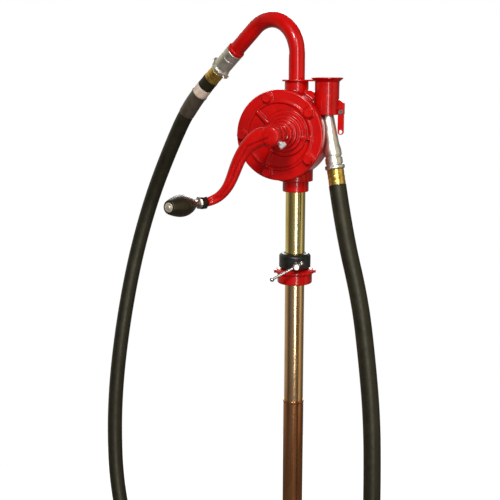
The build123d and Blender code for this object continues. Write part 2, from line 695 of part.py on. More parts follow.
# ---------------------------------------------------------------- holster and latch
with BuildPart() as holster:
    bore_r = holster_r - holster_wall
    turned(Plane(origin=(holster_x, holster_y, 0)), [
        (bore_r, holster_base), (holster_r - 0.6, holster_base), (holster_r, holster_base + 0.6),
        (holster_r, holster_rim - 7), (holster_lip_r, holster_rim - 2), (holster_lip_r, holster_rim),
        (holster_lip_r - 2, holster_rim), (bore_r, holster_rim - 6)])
save(holster, "holster")

with BuildPart() as holster_plate:
    with BuildSketch(level(neck_top)):
        Circle(plate_r)
        with Locations((holster_x / 2, holster_y)):
            Rectangle(holster_x, 30)
        Circle(spout_r + seated, mode=Mode.SUBTRACT)
        with Locations((holster_x, holster_y)):
            Circle(holster_r + 3.4, mode=Mode.SUBTRACT)
            with Locations((30, 0)):
                Rectangle(60, 60, mode=Mode.SUBTRACT)
    extrude(amount=plate_t)
save(holster_plate, "holster_plate")

tab_t = 4.0
tab_x = holster_x + holster_r
pivot_x, pivot_z = tab_x + 5.3, holster_base + 5.0
with BuildPart() as latch_tab:
    with BuildSketch(Plane.XZ.offset(-holster_y - tab_t / 2)):
        with BuildLine():
            Polyline((tab_x - weld, pivot_z - 3), (pivot_x, pivot_z - 6), (pivot_x + 4.6, pivot_z - 3.5),
                     (pivot_x + 4.6, pivot_z + 14), (tab_x - weld, pivot_z + 20), close=True)
        make_face()
        with Locations((pivot_x, pivot_z)):
            Circle(2.5, mode=Mode.SUBTRACT)
    extrude(amount=tab_t)
save(latch_tab, "latch_tab")

lever_front = holster_y - tab_t / 2 - loose
lever_t = 4.0
lever_length = 32.0
padlock_hole_r = 3.0
with BuildPart() as nozzle_latch:
    with BuildSketch(facing(pivot_x, pivot_z, lever_front)):
        with Locations((0, -lever_length / 2)):
            SlotOverall(lever_length + 10, 10, rotation=90)
        Circle(2.5 + running, mode=Mode.SUBTRACT)
        with Locations((0, -lever_length)):
            Circle(padlock_hole_r, mode=Mode.SUBTRACT)
    extrude(amount=lever_t)
save(nozzle_latch, "nozzle_latch")

with BuildPart() as latch_pin:
    turned(facing(pivot_x, pivot_z, holster_y + tab_t / 2 + 1.6), [
        (0, 0), (3.6, 0), (4.2, 1), (4.2, 1.6), (2.5, 1.6), (2.5, 1.6 + tab_t + lever_t + 2 * loose),
        (4.2, 1.6 + tab_t + lever_t + 2 * loose), (4.2, 2.4 + tab_t + lever_t + 2 * loose),
        (3.4, 3.4 + tab_t + lever_t + 2 * loose), (0, 3.4 + tab_t + lever_t + 2 * loose)])
save(latch_pin, "latch_pin")
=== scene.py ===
"""Looks for the drum barrel pump, in metres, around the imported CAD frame."""
import json
import math

import bmesh
import bpy
from mathutils import Matrix, Vector


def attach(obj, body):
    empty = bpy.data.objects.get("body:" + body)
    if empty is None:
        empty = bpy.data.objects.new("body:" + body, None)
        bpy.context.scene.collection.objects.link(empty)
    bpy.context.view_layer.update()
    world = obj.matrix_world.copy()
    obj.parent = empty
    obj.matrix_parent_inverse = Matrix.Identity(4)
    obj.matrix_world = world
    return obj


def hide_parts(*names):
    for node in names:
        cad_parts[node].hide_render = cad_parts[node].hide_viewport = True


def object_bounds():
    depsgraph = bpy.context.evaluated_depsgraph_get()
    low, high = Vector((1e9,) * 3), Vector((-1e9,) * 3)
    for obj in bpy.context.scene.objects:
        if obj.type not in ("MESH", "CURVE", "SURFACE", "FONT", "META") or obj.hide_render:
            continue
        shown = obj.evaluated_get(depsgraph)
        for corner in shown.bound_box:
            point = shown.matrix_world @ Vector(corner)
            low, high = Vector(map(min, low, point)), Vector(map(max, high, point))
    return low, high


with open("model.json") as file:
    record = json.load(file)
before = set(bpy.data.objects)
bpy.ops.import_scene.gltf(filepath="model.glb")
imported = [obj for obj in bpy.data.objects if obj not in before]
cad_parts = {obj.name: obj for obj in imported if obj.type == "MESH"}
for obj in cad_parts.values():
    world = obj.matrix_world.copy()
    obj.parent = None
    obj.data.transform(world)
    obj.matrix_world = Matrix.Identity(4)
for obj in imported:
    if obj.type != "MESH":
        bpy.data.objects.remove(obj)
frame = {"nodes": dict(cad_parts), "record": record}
nodes = frame["nodes"]
cad_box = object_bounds()

MM = 0.001
UP = (0, 0, 1)
FRONT = (0, -1, 0)
SLOT = {part["node"]: part["material_slot"] for part in frame["record"]["subparts"]}
BODY = {node: body for body, members in frame["record"]["behaviour"]["bodies"].items() for node in members}


# ---------------------------------------------------------------- camera
CAMERA_PLACE = (0.446, -1.379, 0.328)
CAMERA_TILT = 11.31           # degrees below the horizon
CAMERA_HEADING = 20.97        # degrees anticlockwise from +Y
SENSOR = 36.0                 # millimetres
FIELD_OF_VIEW = 32.41         # degrees
NEAREST, FARTHEST = 0.05, 60  # metres that the camera sees


def make_camera():
    data = bpy.data.cameras.new("camera")
    data.sensor_width = SENSOR
    data.lens = SENSOR / 2 / math.tan(math.radians(FIELD_OF_VIEW) / 2)
    data.clip_start = NEAREST
    data.clip_end = FARTHEST
    camera = bpy.data.objects.new("camera", data)
    camera.location = CAMERA_PLACE
    camera.rotation_euler = (math.radians(90 - CAMERA_TILT), 0, math.radians(CAMERA_HEADING))
    bpy.context.scene.collection.objects.link(camera)
    bpy.context.scene.camera = camera


# ---------------------------------------------------------------- materials
class Nodes:
    """A small helper that adds and links the nodes of one tree."""

    def __init__(self, tree):
        self.tree = tree

    def put(self, value, socket):
        """Links another node's output to the socket, or sets the socket to a constant."""
        if isinstance(value, bpy.types.NodeSocket):
            self.tree.links.new(value, socket)
        elif socket.type == "RGBA":
            socket.default_value = (*value, 1)
        else:
            socket.default_value = value

    def add(self, kind, **inputs):
        """A new node. An input's name has _ for each space, such as From_Min=0."""
        node = self.tree.nodes.new(kind)
        for key, value in inputs.items():
            self.put(value, node.inputs[key.replace("_", " ")])
        return node

    def ramp(self, fac, *stops):
        """Colours or greys along 0 to 1, each stop (place, value)."""
        node = self.add("ShaderNodeValToRGB", Fac=fac)
        elements = node.color_ramp.elements
        while len(elements) < len(stops):
            elements.new(0.5)
        for element, (place, value) in zip(elements, stops):
            element.position = place
            element.color = (*value, 1) if isinstance(value, tuple) else (value, value, value, 1)
        return node.outputs["Color"]

    def mix(self, fac, a, b, blend="MIX"):
        node = self.tree.nodes.new("ShaderNodeMix")
        node.data_type = "RGBA"
        node.blend_type = blend
        fac_socket, a_socket, b_socket = (node.inputs[i] for i in (0, 6, 7))
        self.put(fac, fac_socket)
        self.put(a, a_socket)
        self.put(b, b_socket)
        return node.outputs[2]

    def maths(self, operation, a, b):
        node = self.tree.nodes.new("ShaderNodeMath")
        node.operation = operation
        self.put(a, node.inputs[0])
        self.put(b, node.inputs[1])
        return node.outputs[0]


class Shader(Nodes):
    """The nodes of one new material. place is the object's own coordinates, in metres."""

    def __init__(self, name):
        self.material = bpy.data.materials.new(name)
        self.material.use_nodes = True
        super().__init__(self.material.node_tree)
        self.surface = self.tree.nodes["Principled BSDF"]
        self.place = self.tree.nodes.new("ShaderNodeTexCoord").outputs["Object"]

    def set(self, **values):
        """Constant values on the surface's own sockets, such as Base_Color=(r, g, b)."""
        for key, value in values.items():
            self.put(value, self.surface.inputs[key.replace("_", " ")])

    def link(self, socket, name):
        self.tree.links.new(socket, self.surface.inputs[name])

    def stretched(self, scale):
        """Object coordinates scaled differently along each axis."""
        return self.add("ShaderNodeMapping", Vector=self.place, Scale=scale).outputs["Vector"]

    def noise(self, scale, detail=3.0, roughness=0.5, vector=None, distortion=0.0):
        node = self.add("ShaderNodeTexNoise", Vector=vector or self.place, Scale=scale, Detail=detail,
                        Roughness=roughness, Distortion=distortion)
        return node.outputs["Fac"]

    def bump(self, *layers):
        """Bumps on top of each other, each layer (height, strength, distance in metres)."""
        normal = None
        for height, strength, distance in layers:
            node = self.add("ShaderNodeBump", Height=height, Strength=strength, Distance=distance)
            if normal:
                self.tree.links.new(normal, node.inputs["Normal"])
            normal = node.outputs["Normal"]
        self.link(normal, "Normal")


def red_enamel(name, grain, coarse):
    """Glossy red paint, with painted shade in the casting's hollows and a painted highlight on its edges.

    grain is the bump of the casting under it, and coarse its unevenness.
    """
    s = Shader(name)
    s.set(Metallic=0.0, Specular_IOR_Level=0.15, Coat_Weight=0.40, Coat_Roughness=0.07, Coat_IOR=1.5)
    colour = s.ramp(s.noise(26, 4, 0.6), (0.3, (0.36, 0.0014, 0.0011)), (0.5, (0.47, 0.0018, 0.0013)),
                    (0.72, (0.54, 0.0034, 0.0015)))
    # Painted shade and highlight: low pointiness (hollows) darkens the red, high pointiness (sharp edges)
    # makes it paler.
    hollow = s.tree.nodes.new("ShaderNodeNewGeometry").outputs["Pointiness"]
    painted_hollow_shade_and_edge_highlight = s.ramp(hollow, (0.44, (0.34, 0.30, 0.30)), (0.495, (1, 1, 1)), (0.53, (1, 1, 1)),
                  (0.60, (1.0, 1.4, 1.4)))
    s.link(s.mix(1.0, colour, painted_hollow_shade_and_edge_highlight, "MULTIPLY"), "Base Color")
    s.link(s.ramp(s.noise(90, 3), (0.3, 0.26), (0.75, 0.42)), "Roughness")
    wave = s.noise(45, 2, 0.5)
    skin_grain = s.noise(210, 3, 0.55)
    fine_grain = s.noise(900, 2, 0.6)
    s.bump((wave, coarse, 0.004), (skin_grain, grain, 0.0012), (fine_grain, grain * 0.35, 0.0003))
    return s.material


def zinc_gold(name):
    """Yellow passivated zinc on drawn tube, straw and olive above the bung and browner below it."""
    s = Shader(name)
    s.set(Metallic=1.0, Anisotropic=0.3)
    cloud = s.noise(22, 4, 0.6, s.stretched((1, 1, 0.25)), 0.8)
    gold = s.ramp(cloud, (0.25, (0.70, 0.46, 0.12)), (0.42, (0.82, 0.64, 0.22)), (0.55, (0.88, 0.80, 0.36)),
                  (0.68, (0.93, 0.72, 0.27)), (0.82, (0.88, 0.58, 0.28)))
    brown = s.ramp(cloud, (0.28, (0.54, 0.30, 0.12)), (0.5, (0.74, 0.48, 0.24)), (0.75, (0.86, 0.62, 0.38)))
    height = s.add("ShaderNodeSeparateXYZ", Vector=s.place).outputs["Z"]
    below = s.add("ShaderNodeMapRange", Value=height, From_Min=0.02, From_Max=-0.03).outputs[0]
    s.link(s.mix(below, gold, brown), "Base Color")
    streak = s.noise(320, 3, 0.5, s.stretched((1, 1, 0.015)))
    s.link(s.ramp(streak, (0.3, 0.14), (0.7, 0.27)), "Roughness")
    s.bump((streak, 0.12, 0.0004), (s.noise(60, 2), 0.08, 0.001))
    return s.material


def brown_tube(name):
    """Bright brown plating on the thin lower tube, with dull patches and draw lines."""
    s = Shader(name)
    s.set(Metallic=1.0, Anisotropic=0.3)
    cloud = s.noise(16, 4, 0.6, s.stretched((1, 1, 0.2)), 0.6)
    colour = s.ramp(cloud, (0.28, (0.36, 0.13, 0.045)), (0.5, (0.52, 0.22, 0.09)), (0.75, (0.66, 0.34, 0.17)))
    s.link(colour, "Base Color")
    streak = s.noise(300, 3, 0.5, s.stretched((1, 1, 0.012)))
    s.link(s.ramp(streak, (0.3, 0.16), (0.7, 0.30)), "Roughness")
    s.bump((streak, 0.12, 0.0004), (s.noise(50, 2), 0.10, 0.001))
    return s.material


def fibre(name):
    """Pale compressed fibre of the gasket."""
    s = Shader(name)
    s.set(Roughness=0.8)
    s.link(s.ramp(s.noise(300, 4, 0.7), (0.3, (0.55, 0.43, 0.30)), (0.7, (0.80, 0.70, 0.54))), "Base Color")
    s.bump((s.noise(900, 2), 0.4, 0.0003))
    return s.material


def mottled(name, shades, gloss, grain, **surface):
    """A surface whose colour, roughness and relief are all uneven.

    shades and gloss each start with the scale of their noise, then have the stops of a ramp.
    grain has rows of a noise's scale and detail, a bump's strength and its depth in metres.
    """
    s = Shader(name)
    s.set(**surface)
    s.link(s.ramp(s.noise(shades[0], 4, 0.6), *shades[1:]), "Base Color")
    s.link(s.ramp(s.noise(gloss[0], 3), *gloss[1:]), "Roughness")
    s.bump(*[(s.noise(scale, detail), strength, depth) for scale, detail, strength, depth in grain])
    return s.material


def plain(name, low, high, metallic, rough_low, rough_high):
    """Small and inner pieces: two shades, uneven roughness and a fine grain."""
    return mottled(name, (110, (0.3, low), (0.7, high)), (240, (0.3, rough_low), (0.7, rough_high)),
                   [(500, 2, 0.2, 0.0004)], Metallic=metallic)


FINISH = {
    "red_casting": red_enamel("red_casting", 0.32, 0.16),
    "red_pipe": red_enamel("red_pipe", 0.07, 0.07),
    "gold_zinc": zinc_gold("gold_zinc"),
    "bronze_tube": brown_tube("bronze_tube"),
    # Cast aluminium, tumbled smooth, with darker patches.
    "silver": mottled("silver", (70, (0.3, (0.68, 0.66, 0.58)), (0.7, (0.90, 0.88, 0.80))),
                      (180, (0.3, 0.34), (0.7, 0.46)), [(700, 2, 0.15, 0.0003), (90, 3, 0.10, 0.0012)],
                      Metallic=1.0),
    "zinc": mottled("zinc", (150, (0.3, (0.34, 0.31, 0.29)), (0.7, (0.56, 0.52, 0.49))),
                    (300, (0.3, 0.24), (0.7, 0.40)), [(500, 2, 0.15, 0.0003)], Metallic=1.0),
    # A lighter copy of zinc for the crank's set screw, which paints the glint on its head.
    "zinc_painted_glint": plain("zinc_painted_glint", (0.72, 0.72, 0.70), (0.92, 0.92, 0.90), 0.6, 0.30, 0.45),
    "cream_rivet": plain("cream_rivet", (0.50, 0.45, 0.34), (0.72, 0.66, 0.52), 0.7, 0.32, 0.48),
    "brass_ferrule": mottled("brass_ferrule", (120, (0.3, (0.62, 0.37, 0.07)), (0.6, (0.83, 0.57, 0.14)),
                                               (0.8, (0.90, 0.70, 0.26))),
                             (260, (0.3, 0.26), (0.7, 0.38)), [(420, 2, 0.08, 0.0003)], Metallic=1.0),
    # Smooth black hose cover, slightly olive in the light.
    "black_rubber": mottled("black_rubber",
                            (35, (0.3, (0.0050, 0.0052, 0.0022)), (0.7, (0.0150, 0.0125, 0.0070))),
                            (120, (0.3, 0.42), (0.7, 0.56)), [(800, 2, 0.20, 0.0003), (60, 3, 0.15, 0.0012)],
                            Specular_IOR_Level=0.45, Specular_Tint=(1.0, 0.93, 0.70)),
    # Shrunk olive-grey sleeve over the hose.
    "sleeve": mottled("sleeve", (60, (0.3, (0.026, 0.022, 0.012)), (0.7, (0.075, 0.058, 0.042))),
                      (120, (0.3, 0.30), (0.7, 0.42)), [(240, 3, 0.25, 0.0008)],
                      Specular_IOR_Level=0.8, Specular_Tint=(1.0, 0.90, 0.82)),
    # Black finish on cast iron, uneven and slightly grey in patches.
    "black_steel": mottled("black_steel", (80, (0.35, (0.004, 0.004, 0.0035)), (0.75, (0.013, 0.014, 0.012))),
                           (140, (0.3, 0.30), (0.7, 0.48)), [(380, 3, 0.30, 0.0008)], Specular_IOR_Level=0.5),
    # Moulded black grip with an olive gloss and handling marks.
    "black_grip": mottled("black_grip", (60, (0.3, (0.007, 0.0055, 0.002)), (0.7, (0.020, 0.016, 0.007))),
                          (150, (0.3, 0.30), (0.7, 0.46)), [(600, 2, 0.15, 0.0003), (50, 2, 0.12, 0.001)],
                          Specular_IOR_Level=0.4, Specular_Tint=(1.0, 0.93, 0.74), Coat_Weight=0.2,
                          Coat_Roughness=0.25),
    # Blank pale plastic band, slightly yellowed.
    "pale_label": mottled("pale_label", (90, (0.3, (0.56, 0.42, 0.31)), (0.7, (0.78, 0.66, 0.54))),
                          (200, (0.3, 0.28), (0.7, 0.42)), [(300, 2, 0.15, 0.0004)],
                          Specular_IOR_Level=0.5, Coat_Weight=0.3, Coat_Roughness=0.15),
    "seal_rubber": plain("seal_rubber", (0.012, 0.012, 0.012), (0.03, 0.03, 0.03), 0.0, 0.45, 0.65),
    "bronze_bush": plain("bronze_bush", (0.42, 0.25, 0.10), (0.58, 0.38, 0.17), 1.0, 0.30, 0.45),
    "inner_iron": plain("inner_iron", (0.22, 0.22, 0.22), (0.34, 0.34, 0.34), 1.0, 0.35, 0.5),
    "steel": plain("steel", (0.42, 0.43, 0.44), (0.60, 0.61, 0.62), 1.0, 0.18, 0.3),
    "vane_resin": plain("vane_resin", (0.12, 0.09, 0.05), (0.20, 0.15, 0.09), 0.0, 0.45, 0.6),
    "gasket_fibre": fibre("gasket_fibre"),
}


def dress(piece, slot):
    piece.data.materials.clear()
    piece.data.materials.append(FINISH[slot])


def finish_cad_nodes():
    for name, node in nodes.items():
        dress(node, SLOT[name])


# ---------------------------------------------------------------- hose route
HOSE_RADIUS = 14.4 * MM
SPOUT_END = Vector((-0.1295, 0.0495, 0.3731))
SPOUT_WAY = Vector((-0.7259, 0.2775, -0.6293))
NOZZLE_ROOT = Vector((0.055, -0.005, 0.269))
NOZZLE_WAY = Vector((22.4, -12.0, -112.5)).normalized()
HOSE_START = SPOUT_END + SPOUT_WAY * 0.075
HOSE_FINISH = NOZZLE_ROOT + NOZZLE_WAY * 0.116
# The CAD hose's points. The second, the third and the third from the end are moved a few millimetres, to
# follow the photograph.
HOSE_ROUTE = [
    HOSE_START,
    HOSE_START + SPOUT_WAY * 0.070,
    (-0.291, 0.117, 0.196),
    (-0.343, 0.137, 0.098),
    (-0.373, 0.129, -0.002),
    (-0.385, 0.105, -0.094),
    (-0.391, 0.081, -0.184),
    (-0.396, 0.064, -0.276),
    (-0.396, 0.051, -0.370),
    (-0.383, 0.031, -0.474),
    (-0.346, 0.004, -0.576),
    (-0.288, -0.024, -0.668),
    (-0.208, -0.052, -0.738),
    (-0.114, -0.074, -0.776),
    (-0.018, -0.088, -0.776),
    (0.068, -0.092, -0.732),
    (0.126, -0.088, -0.652),
    (0.154, -0.080, -0.552),
    (0.163, -0.074, -0.445),
    (0.161, -0.067, -0.335),
    (0.155, -0.057, -0.225),
    (0.141, -0.046, -0.125),
    (0.124, -0.034, -0.030),
    HOSE_FINISH + NOZZLE_WAY * 0.080,
    HOSE_FINISH,
]


# ---------------------------------------------------------------- mesh building
# From here on, a plain length is in millimetres, and one that is multiplied by MM is in metres.
SHARP = math.radians(38)      # a harder fold than this keeps its edge
MERGE_WITHIN = 1e-6           # metres
CORNER_STEPS = 4
CORNER_SHARE = 0.45           # of a run that one corner's curve may take
CHAMFER = math.tan(math.radians(28))    # slope of a hexagon's chamfer
LUG_BEVEL, LUG_BEVEL_STEPS, LUG_ROUNDNESS = 1.2 * MM, 3, 0.6
AXIS_FACETS, SMOOTH_FACETS = 72, 96     # around turned pieces, and around the large smooth ones
BAR_FACETS = 64                         # around swept pieces


def stand_for(piece, name):
    """The piece replaces a CAD node and rides on its body."""
    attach(piece, BODY[name])
    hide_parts(name)
    return piece


def finish_mesh(name, shell, finish):
    """A smooth-shaded piece from a bmesh, with its hard folds kept sharp and flat faces kept flat."""
    bmesh.ops.remove_doubles(shell, verts=shell.verts, dist=MERGE_WITHIN)
    bmesh.ops.recalc_face_normals(shell, faces=shell.faces)
    for face in shell.faces:
        face.smooth = True
    for edge in shell.edges:
        edge.smooth = edge.calc_face_angle(0) < SHARP
    data = bpy.data.meshes.new(name)
    shell.to_mesh(data)
    shell.free()
    piece = bpy.data.objects.new(name, data)
    bpy.context.scene.collection.objects.link(piece)
    piece.data.materials.append(finish)
    piece.modifiers.new("even_normals", "WEIGHTED_NORMAL").keep_sharp = True
    return piece


def axis_frame(origin, along, toward=(0, 0, 1)):
    """A frame whose Z runs along an axis, with X as near to toward as it can be."""
    z = Vector(along).normalized()
    x = Vector(toward) - z * z.dot(Vector(toward))
    x = x.normalized() if x.length > 1e-4 else z.orthogonal().normalized()
    return Matrix.Translation(Vector(origin)) @ Matrix((x, z.cross(x), z)).transposed().to_4x4()


def rounded(profile, size, closed):
    """The profile with each corner turned into a small curve.

    A point's third number is its own corner's size, in place of the size given for all of them.
    """
    points = [Vector(p[:2]) for p in profile]
    sizes = [p[2] if len(p) > 2 else size for p in profile]
    out = []
    for i, corner in enumerate(points):
        if not closed and i in (0, len(points) - 1):
            out.append(corner)
            continue
        before, after = points[i - 1], points[(i + 1) % len(points)]
        shorter = min((corner - before).length, (after - corner).length)
        room = min(sizes[i], CORNER_SHARE * shorter)
        start = corner + (before - corner).normalized() * room
        end = corner + (after - corner).normalized() * room
        for step in range(CORNER_STEPS + 1):
            t = step / CORNER_STEPS
            out.append(start * (1 - t) ** 2 + corner * 2 * t * (1 - t) + end * t ** 2)
    return out


def skin(shell, rings, closed=False, ends=True):
    """Faces between rings of points. A closed skin joins its last ring to its first."""
    made = [[shell.verts.new(p) for p in ring] for ring in rings]
    pairs = list(zip(made, made[1:])) + ([(made[-1], made[0])] if closed else [])
    for low, high in pairs:
        for i in range(len(low)):
            j = (i + 1) % len(low)
            shell.faces.new((low[i], low[j], high[j], high[i]))
    if ends and not closed:
        shell.faces.new(reversed(made[0]))
        shell.faces.new(made[-1])


def turn(shell, place, profile, size=0.4, closed=False, segments=AXIS_FACETS, shape=None):
    """Revolves a profile of (radius, height) in millimetres around the place's Z.

    shape(angle, radius, height) may change the radius and height, as for a hexagon.
    """
    rings = []
    for radius, height in rounded(profile, size, closed):
        ring = []
        for i in range(segments):
            angle = 2 * math.pi * i / segments
            r, h = shape(angle, radius, height) if shape else (radius, height)
            ring.append(place @ (Vector((r * math.cos(angle), r * math.sin(angle), h)) * MM))
        rings.append(ring)
    skin(shell, rings, closed, ends=not closed)


def hex_head(flats, top, crown):
    """Turns a round profile into a hexagon whose top corners are chamfered down to a crown circle."""
    def shape(angle, radius, height):
        wedge = (angle + math.pi / 6) % (math.pi / 3) - math.pi / 6
        side = flats / 2 / math.cos(wedge)
        if radius >= flats / 2:
            lowered = max(0.0, side - crown) * CHAMFER
            return side * radius / (flats / 2), min(height, top - lowered)
        return radius, height
    return shape


def pin(shell, place, outward, inner, outer, across, depth):
    """One spanner lug on a coupling: a rounded block that stands out from its side."""
    block = bmesh.ops.create_cube(shell, size=1)["verts"]
    middle = Vector(((inner + outer) / 2 * outward, 0, depth / 2)) * MM
    size = Vector((outer - inner, across, depth)) * MM
    for vert in block:
        vert.co = place @ (Vector(a * b for a, b in zip(vert.co, size)) + middle)
    edges = {e for v in block for e in v.link_edges}
    bmesh.ops.bevel(shell, geom=list(edges), offset=LUG_BEVEL, segments=LUG_BEVEL_STEPS, affect="EDGES",
                    profile=LUG_ROUNDNESS)


def turned_piece(name, place, profile, stands_for, size=0.4, closed=False, lugs=None, finish=None, **more):
    """A turned piece that stands for a CAD node. Its profile has (radius, height) points in millimetres.

    lugs are the height, inner and outer radius, width and depth of two spanner lugs. finish is a finish
    other than the one of the node's slot.
    """
    shell = bmesh.new()
    turn(shell, place, profile, size, closed, **more)
    if lugs:
        height, inner, outer, across, depth = lugs
        for side in (-1, 1):
            pin(shell, place @ Matrix.Translation((0, 0, height * MM)), side, inner, outer, across, depth)
    piece = finish_mesh(name, shell, FINISH[finish or SLOT[stands_for]])
    return stand_for(piece, stands_for)


def swept(shell, points, radii, start_side, segments=BAR_FACETS, wobble=None):
    """A round bar through points, each with its radius. The side is carried along without twisting.

    wobble(share of the way, angle) may scale the radius.
    """
    points = [Vector(p) for p in points]
    side = Vector(start_side)
    rings = []
    for i, point in enumerate(points):
        before, after = points[max(i - 1, 0)], points[min(i + 1, len(points) - 1)]
        way = (after - before).normalized()
        side = (side - way * way.dot(side)).normalized()
        up = way.cross(side)
        ring = []
        for j in range(segments):
            angle = 2 * math.pi * j / segments
            r = radii[i] * (wobble(i / (len(points) - 1), angle) if wobble else 1)
            ring.append(point + (side * math.cos(angle) + up * math.sin(angle)) * r)
        rings.append(ring)
    skin(shell, rings)


# ---------------------------------------------------------------- castings
SOFTEN_BY = 0.5               # of the way to the neighbours' middle, in each smoothing pass


def recast(name, node, voxel, passes, shift):
    """A casting made from a CAD node's shape, with every edge softened as sand moulding leaves it.

    shift(place), where there is one, says how far to move each point.
    """
    copy = bpy.data.objects.new(name, nodes[node].data.copy())
    bpy.context.scene.collection.objects.link(copy)
    grid = copy.modifiers.new("grid", "REMESH")
    grid.mode = "VOXEL"
    grid.voxel_size = voxel
    soften = copy.modifiers.new("soften", "SMOOTH")
    soften.factor = SOFTEN_BY
    soften.iterations = passes
    bpy.context.view_layer.update()
    data = bpy.data.meshes.new_from_object(copy.evaluated_get(bpy.context.evaluated_depsgraph_get()))
    copy.modifiers.clear()
    copy.data = data
    if shift:
        for vert in data.vertices:
            vert.co += shift(vert.co)
    data.shade_smooth()
    dress(copy, SLOT[node])
    return stand_for(copy, node)


ARM_ROUTE = [Vector((x, 0, z)) * MM for x, z in ((10, 236), (-6, 239), (-44, 223), (-60.5, 195.5), (-73, 166),
                                                 (-90, 143), (-113, 132))]
CREASE_FRONT = -112 * MM      # the crease is only on the face in front of this
CREASE_DEPTH = 2.2 * MM
CREASE_WIDTH = 1.9 * MM
CREASE_OFFSET = 1.6 * MM      # toward the outside of the arm's curve


def arm_crease(place):
    """A shallow crease that runs along the front of the crank arm, as cast, but not over its hub."""
    if place.y > CREASE_FRONT:
        return Vector((0, 0, 0))
    nearest = None
    for start, end in zip(ARM_ROUTE, ARM_ROUTE[1:]):
        run = end - start
        flat = Vector((place.x, 0, place.z))
        t = min(1, max(0, (flat - start).dot(run) / run.length_squared))
        away = flat - (start + run * t)
        side = Vector((-run.z, 0, run.x)).normalized().dot(away)
        if nearest is None or away.length < nearest[0]:
            nearest = (away.length, side, start is ARM_ROUTE[0])
    _, side, on_hub = nearest
    if on_hub:
        return Vector((0, 0, 0))
    depth = CREASE_DEPTH * math.exp(-((side - CREASE_OFFSET) / CREASE_WIDTH) ** 2)
    return Vector((0, depth, 0))


# Piece, CAD node, voxel in millimetres, smoothing passes, and what else moves its points.
CASTINGS = [
    ("casing_body", "pump_casing", 0.9, 5, None),
    ("cover_plate", "front_cover", 0.75, 4, None),
    ("crank_handle_arm", "crank_arm", 0.6, 6, arm_crease),
    ("bung_body", "bung_adapter", 0.6, 3, None),
    ("inlet_collar", "inlet_coupling", 0.6, 3, None),
    ("holster_cup", "holster", 0.6, 5, None),
    ("holster_bridge", "holster_plate", 0.5, 4, None),
    ("latch_lug", "latch_tab", 0.4, 4, None),
    ("latch_lever", "nozzle_latch", 0.4, 4, None),
]


def make_castings():
    for name, node, voxel, passes, shift in CASTINGS:
        recast(name, node, voxel * MM, passes, shift)


# ---------------------------------------------------------------- fasteners and shaft
CHAMBER_X, CHAMBER_Z = -15.0, 236.0
SHAFT = Vector((-4.0, 0, 240.0)) * MM
COVER_FACE = -45.0            # front face of the cover
BOSS = 2.5                    # height of the bosses under the bolts
BOLT_CIRCLE = 63.5
BOLT_COUNT = 5
BOLT_START = 36.0             # degrees from +X
BOLT_FLATS, BOLT_HEAD = 13.0, 5.3
BOLT_SPIN = 0.9               # radians that each head is turned past the one before
GLAND_FRONT = Vector((0, -71, 0)) * MM
HUB_MIDDLE = Vector((0, -101, 0)) * MM
HUB_SCREW_SLANT = math.radians(-47)
HUB_SCREW_TOP = 24.6


def make_cover_bolts():
    """Five hexagon heads on the cover, each turned its own way, as a spanner leaves them."""
    shell = bmesh.new()
    for i in range(BOLT_COUNT):
        turn_to = math.radians(BOLT_START + 360 / BOLT_COUNT * i)
        spot = Vector((CHAMBER_X + BOLT_CIRCLE * math.cos(turn_to), COVER_FACE - BOSS,
                       CHAMBER_Z + BOLT_CIRCLE * math.sin(turn_to))) * MM
        place = axis_frame(spot, FRONT, (math.cos(BOLT_SPIN * i), 0, math.sin(BOLT_SPIN * i)))
        turn(shell, place,
             [(0, -16), (3.9, -16), (3.9, 0), (6.5, 0.05), (6.5, BOLT_HEAD, 0.01), (5.9, BOLT_HEAD, 0.01),
              (4.6, 5.1), (0, 5.0)], 0.25, shape=hex_head(BOLT_FLATS, BOLT_HEAD, 6.3))
    stand_for(finish_mesh("cover_screws", shell, FINISH["red_casting"]), "cover_bolts")


def make_hub_pieces():
    turned_piece("gland_nut", axis_frame(SHAFT + GLAND_FRONT, FRONT, (1, 0, 0.3)),
                 [(8.4, 0), (15.0, 0, 0.05), (15.0, 10, 0.05), (13.6, 10), (9.4, 9.6), (8.4, 9.2)],
                 "packing_nut", 0.3, closed=True, shape=hex_head(30.0, 10.0, 15.2))
    out = Vector((math.cos(HUB_SCREW_SLANT), 0, math.sin(HUB_SCREW_SLANT)))
    # The set screw wears the lighter copy of zinc, a painted glint.
    turned_piece("hub_set_screw", axis_frame(SHAFT + HUB_MIDDLE, out, FRONT),
                 [(0, 8.05), (3.95, 8.1), (3.95, 18.6), (5.5, 18.65, 0.05), (5.5, HUB_SCREW_TOP, 0.05),
                  (4.6, HUB_SCREW_TOP), (3.6, 24.2), (0, 24.2)],
                 "crank_set_screw", 0.2, shape=hex_head(11.0, HUB_SCREW_TOP, 5.5), finish="zinc_painted_glint")


# ---------------------------------------------------------------- grip
GRIP_AXIS = Vector((-0.22, -0.975, 0.03)).normalized()
ARM_END = Vector((-113, -126, 132)) * MM
GRIP_START, GRIP_END = 30.2, 90.2
NUT_TOP, NUT_FLATS = 12.0, 19.0


